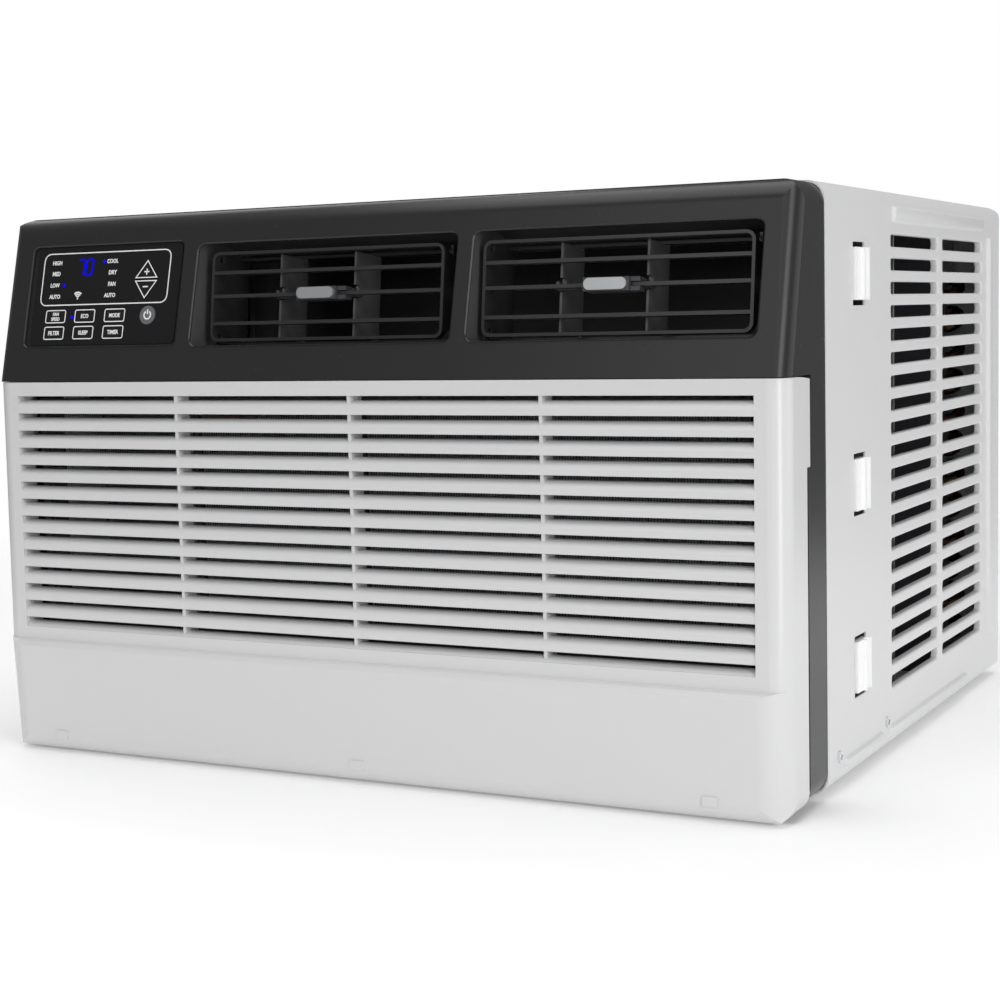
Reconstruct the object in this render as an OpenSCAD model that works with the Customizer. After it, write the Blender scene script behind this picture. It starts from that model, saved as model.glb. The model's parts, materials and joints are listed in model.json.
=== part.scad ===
// Window room air conditioner. Millimetres, +Z up, front facing -Y.
// Heights are above the surface it stands on. Depths are behind the grille face,
// and in_row() moves them so that the origin is at the centre of the base.

/* [Cabinet] */
// Width of the cabinet across its side sheets
cab_w = 600; // [600:1:600]
// Top of the cabinet above the feet
cab_top = 386; // [386:1:390]
// Underside of the cabinet above the feet
cab_bottom = 4.3; // [4:0.1:5]
// Depth where the cabinet meets the front frame
cab_front = 71; // [71:1:72]
// Depth of the cabinet's rear face
cab_rear = 537.4; // [537:0.1:540]
// Sheet thickness of the cabinet
sheet = 1.2; // [1:0.1:1.4]
// Radius of the long cabinet edges
cab_edge_r = 12; // [10:1:14]
// Radius of the rear edges seen from the side
cab_rear_r = 16; // [14:1:18]
// Height of the embossed ribs above the sheet
emboss = 0.9; // [0.6:0.1:1.2]

/* [Side slots] */
// Rows of slots in each column
slot_rows = 20; // [10:1:20]
// Distance from slot to slot
slot_pitch = 15.873; // [15:0.001:16]
// Height of one slot
slot_h = 11; // [8:0.1:11]
// Top of the highest slot
slot_top = 357.7; // [350:0.1:358]

// Corner radius of a slot
slot_r = 2.6; // [1:0.1:4]

/* [Front] */
// Lean of the dark bezel from upright, degrees
bezel_lean = 13.82; // [13.82:0.01:13.82]
// Height where the bezel's plane meets the grille face
bezel_z = 272.2; // [272.2:0.1:272.2]
// Top of the intake grille panel
panel_top = 268.3; // [268:0.1:268.3]
// Wall thickness of the plastic mouldings
wall = 2.4; // [2:0.1:2.6]
// Radius of the upright front corners
front_corner_r = 13; // [10:1:14]

/* [Intake grille] */
// Number of openings between the slats
grille_slots = 14; // [8:1:14]
// Distance from opening to opening
grille_pitch = 12.29; // [12:0.01:12.3]
// Half width of the grille window
grille_half = 279.3; // [270:0.1:280]
// Top of the highest opening
grille_top = 258.5; // [258:0.1:259]
// Height of a slat's front face
slat_h = 5.3; // [4:0.1:6]

/* [Air vents] */
// Width of one louvre cassette
louvre_w = 183; // [180:1:184]
// Height of one louvre cassette
louvre_h = 61.5; // [60:0.5:62]
// Lean of the louvre cassette at rest, degrees
louvre_lean = 7; // [7:1:7]
// Distance from a vane's pivot to its link pin
vane_arm = 26; // [26:1:26]

/* [Fan] */
// Sideways position of the fan shaft
fan_x = 40; // [40:1:40]
// Height of the fan shaft
fan_z = 165; // [165:1:165]
// Radius of the blower wheel
blower_r = 88; // [80:1:90]
// Radius of the condenser fan's slinger ring
slinger_r = 146; // [140:1:147]

/* [Hidden] */
$fn = 48;

// The lower bulge of the grille panel stands furthest forward
bulge_front = -6.3;
head_h = 1.6;
depth_mid = (cab_rear + head_h + bulge_front) / 2;
half_w = cab_w / 2;
frame_half = half_w - 0.3;
frame_top = cab_top - 0.7;
frame_bottom = 5;
panel_half = half_w - 0.7;
frame_front = 37.3;
foot_corner_r = 14;

// Lean of the panel's face above the step over the bulge
step_z = 82.5;
step_y = -1.85;
panel_lean = 0.57;
bulge_corner_r = 19;
bulge_top = 78.3;
bulge_lean = 3.4;

// Centre of the round edge between the bezel's face and its top
front_top_r = 17;
bez_c = [
    (front_top_r + sin(bezel_lean) * (frame_top - front_top_r - bezel_z)) / cos(bezel_lean),
    frame_top - front_top_r
];

// Hinge of the grille panel; the panel's lower edge is round about it
hinge_y = 10.3;
hinge_z = 14;
hinge_edge_r = 12.8;
hinge_pin_r = 2.5;
run_gap = 0.05;
hinge_x = [-250, 0, 250];

// Openings in the bezel, along the bezel's own plane
control_x = [-277, -142];
control_s = [21.5, 96];
vent_left_x = [-130.8, 74];
vent_right_x = [84.4, 280];
vent_s = [20.3, 93.3];
skin = 2.5;
recess = 2.6;

// Fascia and keys
fascia_x = [-273, -144.5];
fascia_s = [23.3, 95];
fascia_face = 2.0;
fascia_t = 3;
key_face = 1.7;
key_back = 6.6;
key_gap = 0.35;
key_size = [18.2, 9.6];
key_hole = key_size + 2 * [key_gap, key_gap];
key_cols = [-251, -224.6, -198];
key_rows = [44.2, 32.2];
power_at = [-169.2, 43.8];
power_r = 6.6;
temp_x = -173.6;
temp_up_s = 70.2;
temp_down_s = 68.7;
temp_half = 10;
temp_tall = 13.3;

// Louvre cassettes, in their own leaning frame about the pivot
louvre_depth = 30;
louvre_s = 59.7;
louvre_left_x = -30.9;
louvre_right_x = 180.5;
louvre_front = -20;
bar_z = [16.4, 0.3, -18.4];
bar_t = 2.4;
ring_t = 2.1;
cassette_back = 21;
pivot_r = 2.5;
vane_x = [-39, 20];
vane_pivot = 16;
vane_t = 1.6;
vane_pin_r = 1.5;
vane_half_h = 28.45;
knob_x = -3.5;
knob_size = [28.6, 7.4];
link_pin_r = 1.2;
link_gap = 0.4;

// Duct walls, along the bezel's plane
duct_s = [15.5, 99.5];
duct_t = 2;
duct_back = 62;

// Interior depths
evap_y = [78, 110];
evap_x = [-262, 252];
pan_z = 10;
evap_z = [pan_z, 262];
cond_y = [488, 524];
cond_half = 262;
cond_z = [pan_z, 366];
bulkhead_y = 254;
shroud_y = 462;
fin_pitch = 12;
fin_t = 2.4;
shaft_r = 4;
comp_at = [-190, 335];
comp_r = 60;

slot_cols = [[212.2, 337.5], [347.3, 470]];
side_screws = [[93.9, 24.5], [200.2, 25.5]];
clip_z = [309.3, 174.2, 55.5];
clip_slot_y = [127.5, 152.5];
clip_slot_h = 40.4;
clip_h = 33.5;
screw_r = 2;
rear_screws = [[-271, 271], [28, 332]];

// ---------- placing helpers ----------
module in_row() translate([0, -depth_mid, 0]) children();

// Bezel frame: x, depth inwards from the face, s up along the face
module on_bezel() in_row() translate([0, 0, bezel_z]) rotate([-bezel_lean, 0, 0]) children();

// Point on the bezel, as [depth behind the grille face, height]
function bezel_point(d, s) = [
    d * cos(bezel_lean) + s * sin(bezel_lean),
    bezel_z - d * sin(bezel_lean) + s * cos(bezel_lean)
];

// Cassette frame: x from its centre, y inwards and z up from its pivot
module on_louvre(cx)
    in_row()
        translate([cx, bezel_point(louvre_depth, louvre_s)[0], bezel_point(louvre_depth, louvre_s)[1]])
            rotate([-louvre_lean, 0, 0]) children();

// ---------- shape helpers ----------
module span(lo, hi) translate(lo) cube(hi - lo);

// Cylinders along the axes, from the point p
module rod_x(p, r, h) translate(p) rotate([0, 90, 0]) cylinder(r = r, h = h);
module rod_y(p, r, h) translate(p) rotate([-90, 0, 0]) cylinder(r = r, h = h);
module rod_z(p, r, h) translate(p) cylinder(r = r, h = h);

module mirror_x() { children(); mirror([1, 0, 0]) children(); }

// Rectangle from lo to hi with round corners
module round_rect(lo, hi, r) {
    translate([lo.x + r, lo.y]) square([hi.x - lo.x - 2 * r, hi.y - lo.y]);
    translate([lo.x, lo.y + r]) square([hi.x - lo.x, hi.y - lo.y - 2 * r]);
    for (x = [lo.x + r, hi.x - r], y = [lo.y + r, hi.y - r]) translate([x, y]) circle(r);
}

// Outline in x and z, extruded from depth y0 to y1
module extrude_y(y0, y1) translate([0, y1, 0]) rotate([90, 0, 0]) linear_extrude(y1 - y0) children();

// Outline in y and z, extruded from x0 to x1
module extrude_x(x0, x1) translate([x0, 0, 0]) rotate([90, 0, 90]) linear_extrude(x1 - x0) children();

// Round pipe through the points, with ball joints at the bends
module pipe(points, r) {
    for (i = [0 : len(points) - 2]) {
        run = points[i + 1] - points[i];
        reach = norm(run);
        translate(points[i])
            rotate([0, acos(run.z / reach), atan2(run.y, run.x)]) cylinder(r = r, h = reach, $fn = 24);
    }
    for (i = [1 : 1 : len(points) - 2]) translate(points[i]) sphere(r, $fn = 24);
}

// ---------- cabinet ----------
// Solid cabinet outline, drawn in by t on every side but the open front
module cabinet_solid(t, front) {
    intersection() {
        extrude_y(front, cab_rear - t)
            round_rect([-half_w + t, cab_bottom + t], [half_w - t, cab_top - t], cab_edge_r - t);
        extrude_x(-half_w, half_w)
            round_rect([front - 2 * cab_rear_r, cab_bottom + t], [cab_rear - t, cab_top - t], cab_rear_r - t);
        linear_extrude(cab_top)
            round_rect([-half_w + t, front - 2 * cab_edge_r], [half_w - t, cab_rear - t], cab_edge_r - t);
    }
}

// Slots in the right-hand side sheet
module side_slots() {
    extrude_x(half_w - 5, half_w + 5) for (row = [0 : slot_rows - 1], col = slot_cols) {
        z = slot_top - row * slot_pitch - slot_h;
        round_rect([col[0], z], [col[1], z + slot_h], slot_r);
    }
    for (z = clip_z) span([half_w - 5, clip_slot_y[0], z], [half_w + 5, clip_slot_y[1], z + clip_slot_h]);
    for (p = side_screws) rod_x([half_w - 5, p.x, p.y], screw_r, 10);
}

// Stiffening ribs pressed into the right-hand side sheet
module side_emboss() extrude_x(half_w - 0.5, half_w + emboss) {
    round_rect([219, 366.4], [467, 373.5], 2);
    round_rect([487.5, 42], [496.5, 358.5], 2);
    round_rect([107, 16.5], [187, 20], 1.5);
    round_rect([210, 16.5], [414, 20], 1.5);
}

// Folded steel wrapper: top, sides, rear rim and a flange under the base pan
module cabinet_shell() color("gainsboro") in_row() difference() {
    union() {
        difference() {
            cabinet_solid(0, cab_front);
            cabinet_solid(sheet, cab_front - 1);
        }
        mirror_x() side_emboss();
    }
    span([-285, cab_front - 1, 0], [285, 522, 20]);
    extrude_y(cab_rear - 10, cab_rear + 5) round_rect([-258, 40], [258, 352], 8);
    mirror_x() side_slots();
    for (x = rear_screws.x, z = rear_screws.y) rod_y([x, cab_rear - 10, z], screw_r, 15);
    for (x = [-180, 180]) rod_z([x, 110, cab_top - 5], 2.1, 10);
}

// Pressed steel tray with two foot channels and upturned walls
module base_pan() color("darkgray") in_row() {
    pan_half = 293;
    pan_y = [73, 530];
    channel = [160, 200];
    difference() {
        union() {
            span([-pan_half, pan_y[0], pan_z - 1.5], [pan_half, pan_y[1], pan_z]);
            for (x = [-pan_half, pan_half - 1.5]) span([x, pan_y[0], pan_z - 1.5], [x + 1.5, pan_y[1], 36]);
            for (y = [pan_y[0], pan_y[1] - 1.5]) span([-pan_half, y, pan_z - 1.5], [pan_half, y + 1.5, 36]);
            mirror_x() span([channel[0], 120, 0], [channel[1], 480, pan_z]);
        }
        mirror_x() span([channel[0] + 1.5, 121.5, 1.5], [channel[1] - 1.5, 478.5, pan_z + 1]);
        mirror_x() for (y = [150, 450]) rod_z([180, y, -1], 3, 4);
        mirror_x() for (p = side_screws) rod_x([288, p.x, p.y], screw_r, 10);
        for (x = rear_screws.x) rod_y([x, 525, rear_screws.y[0]], screw_r, 10);
    }
}

// Head of a cross-recessed screw, along +X from the sheet
module screw_head() difference() {
    rod_x([0, 0, 0], 4, head_h);
    for (a = [0, 90]) rotate([a + 20, 0, 0]) span([head_h - 1, -2.4, -0.55], [head_h + 1, 2.4, 0.55]);
}

// Pan-headed screws through the side sheets into the base pan, and through the rear rim
module cabinet_screws() color("silver") in_row() {
    mirror_x() for (p = side_screws) {
        rod_x([288, p.x, p.y], screw_r - 0.05, half_w - 288 + 0.5);
        translate([half_w, p.x, p.y]) screw_head();
    }
    for (x = rear_screws.x, z = rear_screws.y) {
        rod_y([x, 527, z], screw_r - 0.05, cab_rear - 527 + 0.5);
        translate([x, cab_rear, z]) rotate([0, 0, 90]) screw_head();
    }
}

// Channel clips in the side slots, which hold the side curtain rails
module side_rail_clips() color("white") in_row() mirror_x() for (z = clip_z)
    translate([half_w, 0, z + (clip_slot_h - clip_h) / 2]) linear_extrude(clip_h)
        polygon([[-3, 128.5], [2, 128.5], [2, 139.5], [4, 139.5], [4, 142.5], [0.8, 142.5], [0.8, 150],
            [4, 150], [4, 152], [-3, 152]]);

// ---------- front frame ----------
// Side outline of the bezel block, drawn in by t
module bezel_outline(t) {
    low = panel_top + 0.6 + t;
    start = bezel_point(t, 0);
    n = [-cos(bezel_lean), sin(bezel_lean)];
    r = front_top_r - t;
    tangent = bez_c + r * n;
    foot_y = start[0] + (low - start[1]) * tan(bezel_lean);
    polygon([[max(foot_y, t * 0.9), low], tangent, bez_c, [bez_c.x, frame_top - t],
        [cab_front + 1, frame_top - t], [cab_front + 1, low]]);
    translate(bez_c) circle(r);
}

// Upright corners of the bezel, which lean back with its face
module bezel_corners(t)
    translate([0, 0, bezel_z]) rotate([-bezel_lean, 0, 0]) translate([0, 0, -40])
        linear_extrude(190)
            round_rect([-frame_half + t - 0.2, t - 0.2], [frame_half - t + 0.2, 140], front_corner_r - t);

module frame_face(t)
    round_rect([-frame_half + t, frame_bottom + t], [frame_half - t, frame_top - t], foot_corner_r - t);

module frame_block(t, back) {
    intersection() {
        extrude_x(-half_w, half_w) bezel_outline(t);
        bezel_corners(t);
        extrude_y(-20, back) frame_face(t);
    }
    extrude_y(frame_front + t, back) frame_face(t);
}

// Floor and inner wall of the pocket that the panel's finger tab closes into
module finger_pocket() {
    span([half_w - 8, 43, 211], [half_w - 1, 45.5, 270]);
    span([half_w - 8.5, frame_front + 1, 211], [half_w - 6, 45.5, 270]);
}

module front_frame() color([0.2, 0.2, 0.2]) {
    difference() {
        union() {
            in_row() difference() {
                frame_block(0, cab_front);
                frame_block(skin, cab_front + 1);
                extrude_y(frame_front - 1, 50) round_rect([-281, 30], [281, 262], 6);
                mirror_x() span([half_w - 6, frame_front - 1, 213], [half_w + 1, 43, panel_top + 0.6]);
            }
            in_row() mirror_x() finger_pocket();
            in_row() span([-294, 24, 6], [294, frame_front + 1, 28]);
            in_row() for (x = hinge_x) for (side = [-1, 1]) hinge_arm(x + side * 9);
            on_bezel() extrude_y(skin - 0.5, 5.5) round_rect([-280, 18.5], [-139, 98.5], 6);
        }
        on_bezel() extrude_y(-5, recess)
            round_rect([control_x[0], control_s[0]], [control_x[1], control_s[1]], 5);
        on_bezel() extrude_y(0, 8)
            round_rect([fascia_x[0] - 0.1, fascia_s[0] - 0.1], [fascia_x[1] + 0.1, fascia_s[1] + 0.1], 4);
        for (v = [vent_left_x, vent_right_x])
            on_bezel() extrude_y(-5, 6) round_rect([v[0], vent_s[0]], [v[1], vent_s[1]], 6);
        in_row() for (x = hinge_x) rod_x([x - 20, hinge_y, hinge_z], hinge_pin_r, 40);
        in_row() span([-half_w - 1, 46, 52], [-half_w + 8, 62, 68]);
    }
}

// Arm that carries one end of a hinge pin
module hinge_arm(x) {
    span([x - 3, hinge_y, 9], [x + 3, 26, 19]);
    rod_x([x - 3, hinge_y, hinge_z], 5, 6);
}

module hinge_pins() color("silver") in_row()
    for (x = hinge_x) rod_x([x - 12, hinge_y, hinge_z], hinge_pin_r, 24);

// Sleeve in the left side strip that the supply cord comes out through
module cord_gland() color("black") in_row() difference() {
    union() {
        span([-half_w - 0.3, 46, 52], [-half_w + 8, 62, 68]);
        rod_x([-half_w - 3, 54, 60], 7, 4);
    }
    rod_x([-half_w - 4, 54, 60], 4.2, 14);
}

// ---------- discharge duct ----------
module louvre_bores(cx) on_louvre(cx)
    for (side = [-1, 1]) rod_x([side * (louvre_w / 2 + 8) - 7, 0, 0], pivot_r + run_gap, 14);

// Boss that carries a cassette's pivot pin, from the cassette out to the duct wall
module louvre_boss(cx, side, wall_x) on_louvre(cx) {
    near = cx + side * (louvre_w / 2 + 1);
    rod_x([min(near, wall_x) - cx, 0, 0], 5.5, abs(wall_x - near));
}

module discharge_duct() color([0.12, 0.12, 0.12]) difference() {
    union() {
        on_bezel() difference() {
            span([vent_left_x[0] - 1.7, skin + 0.1, duct_s[0] - duct_t],
                [vent_right_x[1] + 2, duct_back, duct_s[1] + duct_t]);
            for (v = [vent_left_x, vent_right_x])
                span([v[0] + 0.4, 0, duct_s[0]], [v[1] - 0.5, duct_back + 1, duct_s[1]]);
        }
        louvre_boss(louvre_left_x, -1, vent_left_x[0]);
        louvre_boss(louvre_left_x, 1, vent_left_x[1]);
        louvre_boss(louvre_right_x, -1, vent_right_x[0]);
        louvre_boss(louvre_right_x, 1, vent_right_x[1]);
    }
    louvre_bores(louvre_left_x);
    louvre_bores(louvre_right_x);
}

// ---------- louvre cassettes ----------
module louvre_cassette(cx) color([0.18, 0.18, 0.18]) on_louvre(cx) difference() {
    w = louvre_w / 2;
    h = louvre_h / 2;
    union() {
        difference() {
            extrude_y(louvre_front, louvre_front + 6) round_rect([-w, -h], [w, h], 6);
            extrude_y(louvre_front - 1, louvre_front + 7)
                round_rect([-w + ring_t, -h + ring_t], [w - ring_t, h - ring_t], 4);
        }
        for (z = bar_z)
            span([-w + 1, louvre_front, z - bar_t / 2], [w - 1, louvre_front + 6.5, z + bar_t / 2]);
        for (side = [-1, 1]) {
            x = side * (w - 1);
            span([x - 1, louvre_front + 3, -h + 6], [x + 1, cassette_back, h - 6]);
            span([x - 1, louvre_front + 12, -h], [x + 1, cassette_back, h]);
            rod_x([side * (w + 3) - 3, 0, 0], pivot_r, 6);
        }
        for (z = [-h, h - 2]) span([-w, 11, z], [w, cassette_back, z + 2]);
    }
    for (x = vane_x) rod_z([x, vane_pivot, -h - 1], vane_pin_r + run_gap, louvre_h + 2);
}
module louvre_frame_left() louvre_cassette(louvre_left_x);
module louvre_frame_right() louvre_cassette(louvre_right_x);

// Upright vane with a forked shelf at mid height for the link's pin
module vane(cx, i) color([0.18, 0.18, 0.18]) on_louvre(cx) translate([vane_x[i], vane_pivot, 0]) {
    reach = 29;
    notch = vane_arm - 2.9;
    slot_half = link_pin_r + link_gap;
    difference() {
        span([-vane_t / 2, -reach, -vane_half_h], [vane_t / 2, 2.5, vane_half_h]);
        span([-2, -reach - 1, -2.6], [2, -notch, 6.4]);
    }
    difference() {
        span([-3.6, -reach, 2.4], [3.6, -notch + 2, 4.2]);
        span([-slot_half, -reach - 1, 2], [slot_half, -vane_arm + slot_half, 5]);
    }
    for (side = [-1, 1]) rod_z([0, 0, side * (vane_half_h + 0.6) - 1.4], vane_pin_r, 2.8);
}
module vane_left_1() vane(louvre_left_x, 0);
module vane_left_2() vane(louvre_left_x, 1);
module vane_right_1() vane(louvre_right_x, 0);
module vane_right_2() vane(louvre_right_x, 1);

// Holder that slides on the middle bar, with the link bar and its two pins behind
module slider(cx) color([0.25, 0.25, 0.25]) on_louvre(cx) {
    mid = bar_z[1];
    grip = bar_t / 2 + 0.35;
    bar_back = louvre_front + 6.5;
    difference() {
        span([knob_x - 15.5, louvre_front - 4, mid - 4.3], [knob_x + 15.5, bar_back + 2.4, mid + 4.3]);
        span([knob_x - 16, louvre_front - 0.35, mid - grip], [knob_x + 16, bar_back + 0.35, mid + grip]);
    }
    for (z = [mid - 4.3, mid + grip])
        span([knob_x + 15, louvre_front - 2, z], [knob_x + 22, bar_back - 0.7, z + 4.3 - grip]);
    span([vane_x[0] - 3, vane_pivot - vane_arm - 3, -1.6], [vane_x[1] + 3, vane_pivot - vane_arm + 2.4, 1.6]);
    for (x = vane_x) rod_z([x, vane_pivot - vane_arm, 1], link_pin_r, 4.6);
}
module slider_left() slider(louvre_left_x);
module slider_right() slider(louvre_right_x);

module knob_cap(cx) color("silver") on_louvre(cx)
    extrude_y(louvre_front - 6, louvre_front - 4)
        round_rect([knob_x - knob_size.x / 2, bar_z[1] - knob_size.y / 2],
            [knob_x + knob_size.x / 2, bar_z[1] + knob_size.y / 2], 3.6);
module knob_cap_left() knob_cap(louvre_left_x);
module knob_cap_right() knob_cap(louvre_right_x);

// ---------- controls ----------
module temp_outline(up) {
    tip = up ? temp_tall : -temp_tall;
    polygon([[-temp_half, 0], [temp_half, 0], [0, tip]]);
}

// The temperature key's outline grown by the key gap about its inscribed circle
module temp_hole(up) {
    inner = 2 * temp_half * temp_tall / (2 * temp_half + 2 * norm([temp_half, temp_tall]));
    mid = [0, up ? inner : -inner];
    translate(mid) scale((inner + key_gap) / inner) translate(-mid) temp_outline(up);
}

module control_fascia() color([0.1, 0.1, 0.1]) on_bezel()
    extrude_y(fascia_face, fascia_face + fascia_t) difference() {
        round_rect([fascia_x[0], fascia_s[0]], [fascia_x[1], fascia_s[1]], 4);
        for (x = key_cols, s = key_rows)
            round_rect([x, s] - key_hole / 2, [x, s] + key_hole / 2, 2);
        translate(power_at) circle(power_r + key_gap);
        translate([temp_x, temp_up_s]) temp_hole(true);
        translate([temp_x, temp_down_s]) temp_hole(false);
    }

// Rectangular key with a stop flange and a stem towards its switch
module push_key(col, row) color([0.12, 0.12, 0.12]) on_bezel() {
    at = [key_cols[col], key_rows[row]];
    extrude_y(key_face, key_back) round_rect(at - key_size / 2, at + key_size / 2, 1.6);
    extrude_y(5.4, key_back) round_rect(at - key_size / 2 - [1, 1], at + key_size / 2 + [1, 1], 2);
    rod_y([at.x, key_back, at.y], 2, 1.5);
}
module key_fan_speed() push_key(0, 0);
module key_eco() push_key(1, 0);
module key_mode() push_key(2, 0);
module key_filter() push_key(0, 1);
module key_sleep() push_key(1, 1);
module key_timer() push_key(2, 1);

module key_power() color("silver") on_bezel() {
    rod_y([power_at.x, key_face, power_at.y], power_r, key_back - key_face);
    rod_y([power_at.x, 5.4, power_at.y], power_r + 1, key_back - 5.4);
    rod_y([power_at.x, key_back, power_at.y], 2, 1.5);
}

module temp_key(up) color([0.2, 0.2, 0.2]) on_bezel() {
    s = up ? temp_up_s : temp_down_s;
    stem = up ? s + 4 : s - 4;
    extrude_y(key_face, key_back) translate([temp_x, s]) temp_outline(up);
    rod_y([temp_x, key_back, stem], 2, 1.5);
}
module key_temp_up() temp_key(true);
module key_temp_down() temp_key(false);

module control_board() color("darkgreen") on_bezel() {
    span([-270, 9, 26], [-148, 10.6, 92]);
    for (x = [-266, -152], s = [30, 88]) rod_y([x, 5, s], 2.5, 4);
}

module display_module() color([0.05, 0.05, 0.1]) on_bezel() span([-243, 5.2, 71], [-216, 9, 90]);

// ---------- grille panel ----------
// Side outline of the panel's face, drawn in by t
module panel_outline(t) {
    polygon([[t, panel_top - t], [-0.9 + t, 176], [-1.8 + t, 83], [-5.2 + t, 81.5 - t / 3],
        [bulge_front + t, bulge_top - t / 3], [-5.8 + t, 66], [-4.9 + t, 48], [-3.6 + t, 27.6],
        [-2.5 + t, hinge_z],
        [hinge_y, hinge_z], [hinge_y, 1.2 + t], [16, 1.2 + t], [60, 6], [60, panel_top - t]]);
    translate([hinge_y, hinge_z]) circle(hinge_edge_r - t);
}

// Upright corners of the panel: tight above the bulge, and wider round the bulge itself
module panel_corners(t) {
    translate([0, 0, step_z]) rotate([-panel_lean, 0, 0])
        linear_extrude(cab_top)
            round_rect([-panel_half + t, step_y + t], [panel_half - t, 120], front_corner_r - t);
    translate([0, bulge_front + t, bulge_top]) rotate([bulge_lean, 0, 0]) translate([0, 0, -cab_top])
        linear_extrude(cab_top + step_z - bulge_top)
            round_rect([-panel_half + t, 0], [panel_half - t, 120], bulge_corner_r - t);
}

module panel_solid(t) intersection() {
    extrude_x(-panel_half + t, panel_half - t) panel_outline(t);
    panel_corners(t);
    extrude_y(-20, 120) round_rect([-panel_half + t, 1.2 + t], [panel_half - t, cab_top], foot_corner_r - t);
    rod_x([-half_w, hinge_y, hinge_z], 254.5 - t, cab_w);
}

// Depth to which the panel's side walls reach
module panel_reach() {
    span([-half_w, -20, hinge_z], [half_w, frame_front - 0.8, 280]);
    mirror_x() span([half_w - 5.5, -20, 213.5], [half_w, 42.4, 280]);
    intersection() {
        span([-half_w, -20, 0], [half_w, frame_front - 0.8, hinge_z + 0.1]);
        rod_x([-half_w, hinge_y, hinge_z], 26, cab_w);
    }
}

module grille_window(y0, y1)
    span([-grille_half, y0, grille_top - (grille_slots - 1) * grille_pitch - (grille_pitch - slat_h)],
        [grille_half, y1, grille_top]);

// Curved blade, upright at the front and rolled back at the top
module slat() {
    rise = 5;
    depth = 7.9;
    roll = [for (a = [0 : 15 : 90]) [-0.9 + depth * (1 - cos(a)), slat_h - 1.3 + rise * sin(a)]];
    under = [[7, 7.6], [4, 6.4], [2, 4.4], [1.3, 2], [1.2, 0]];
    extrude_x(-grille_half - 1, grille_half + 1) polygon(concat([[-0.9, 0]], roll, under));
}

module grille_panel() color("whitesmoke") in_row() difference() {
    union() {
        difference() {
            intersection() {
                difference() {
                    panel_solid(0);
                    panel_solid(wall);
                }
                panel_reach();
            }
            grille_window(-10, wall + 1);
            span([-panel_half + wall, 16, 0], [panel_half - wall, 40, 12]);
        }
        for (i = [0 : grille_slots - 1])
            translate([0, 0, grille_top - (i + 1) * grille_pitch]) slat();
        for (x = [-grille_half - 1, -139.6, 0, 139.6, grille_half + 1])
            span([x - 1.2, 1, 88], [x + 1.2, 15, 261]);
        for (z = [86, 258.5]) span([-grille_half - 2, 0.5, z], [grille_half + 2, 15, z + 2.4]);
        for (x = hinge_x) {
            span([x - 5, -3.5, hinge_z - 3], [x + 5, hinge_y, hinge_z + 3]);
            rod_x([x - 5, hinge_y, hinge_z], 5, 10);
        }
    }
    for (x = hinge_x) rod_x([x - 15, hinge_y, hinge_z], hinge_pin_r + run_gap, 30);
}

filter_half = 272;
filter_z = [92, 256];
filter_y = [15, 20];
module air_filter_frame() color("white") in_row() difference() {
    span([-filter_half, filter_y[0], filter_z[0]], [filter_half, filter_y[1], filter_z[1]]);
    for (i = [0 : 3]) {
        pane = (2 * filter_half - 8) / 4;
        x = -filter_half + 6 + i * pane;
        span([x, filter_y[0] - 1, filter_z[0] + 6], [x + pane - 4, filter_y[1] + 1, filter_z[1] - 6]);
    }
}

module air_filter_mesh() color("gray") in_row()
    for (i = [0 : 3]) {
        pane = (2 * filter_half - 8) / 4;
        x = -filter_half + 6 + i * pane;
        span([x, 17, filter_z[0] + 6], [x + pane - 4, 17.6, filter_z[1] - 6]);
    }

// ---------- refrigeration ----------
// Comb of fins on a spine, between the points lo and hi
module fin_pack(lo, hi) {
    mid = (lo.y + hi.y) / 2;
    count = floor((hi.x - lo.x - fin_t) / fin_pitch);
    step = (hi.x - lo.x - fin_t) / count;
    span([lo.x, mid - 0.8, lo.z], [hi.x, mid + 0.8, hi.z]);
    for (i = [0 : count]) span([lo.x + i * step, lo.y, lo.z], [lo.x + i * step + fin_t, hi.y, hi.z]);
}

// Hairpin bends of the coil's tubes, standing out from the end plate at x
module return_bends(x, side, y_pair, z_list, r, lift) {
    across = y_pair[1] - y_pair[0];
    bend_r = norm([across, lift]) / 2;
    for (z = z_list)
        translate([x, (y_pair[0] + y_pair[1]) / 2, z + lift / 2]) rotate([atan2(lift, across), 0, 0])
            rotate([0, 0, side * 90 - 90]) rotate([0, 0, -90]) rotate_extrude(angle = 180)
                translate([bend_r, 0]) circle(r, $fn = 24);
}

module evaporator_fins() color("silver") in_row()
    fin_pack([evap_x[0], evap_y[0], evap_z[0]], [evap_x[1], evap_y[1], evap_z[1]]);

module evaporator_end_plates() color("lightgray") in_row()
    for (x = [evap_x[0] - 1.2, evap_x[1]])
        span([x, evap_y[0] - 2, evap_z[0]], [x + 1.2, evap_y[1] + 2, evap_z[1]]);

module evaporator_tubes() color("peru") in_row() {
    rows = [for (z = [36 : 25.4 : 240]) z];
    return_bends(evap_x[1] + 1.2, 1, [87, 101], rows, 4.7, 12.7);
    return_bends(evap_x[0] - 1.2, -1, [87, 101], rows, 4.7, -12.7);
}

module condenser_fins() color("silver") in_row()
    fin_pack([-cond_half, cond_y[0], cond_z[0]], [cond_half, cond_y[1], cond_z[1]]);

module condenser_end_plates() color("lightgray") in_row()
    for (x = [-cond_half - 1.2, cond_half])
        span([x, cond_y[0] - 2, cond_z[0]], [x + 1.2, cond_y[1] + 2, cond_z[1]]);

module condenser_tubes() color("peru") in_row() {
    rows = [for (z = [36 : 25.4 : 340]) z];
    return_bends(cond_half + 1.2, 1, [499, 513], rows, 4.7, 12.7);
    return_bends(-cond_half - 1.2, -1, [499, 513], rows, 4.7, -12.7);
}

comp_feet = [for (a = [90, 210, 330]) [comp_at.x + 72 * cos(a), comp_at.y + 72 * sin(a)]];

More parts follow.
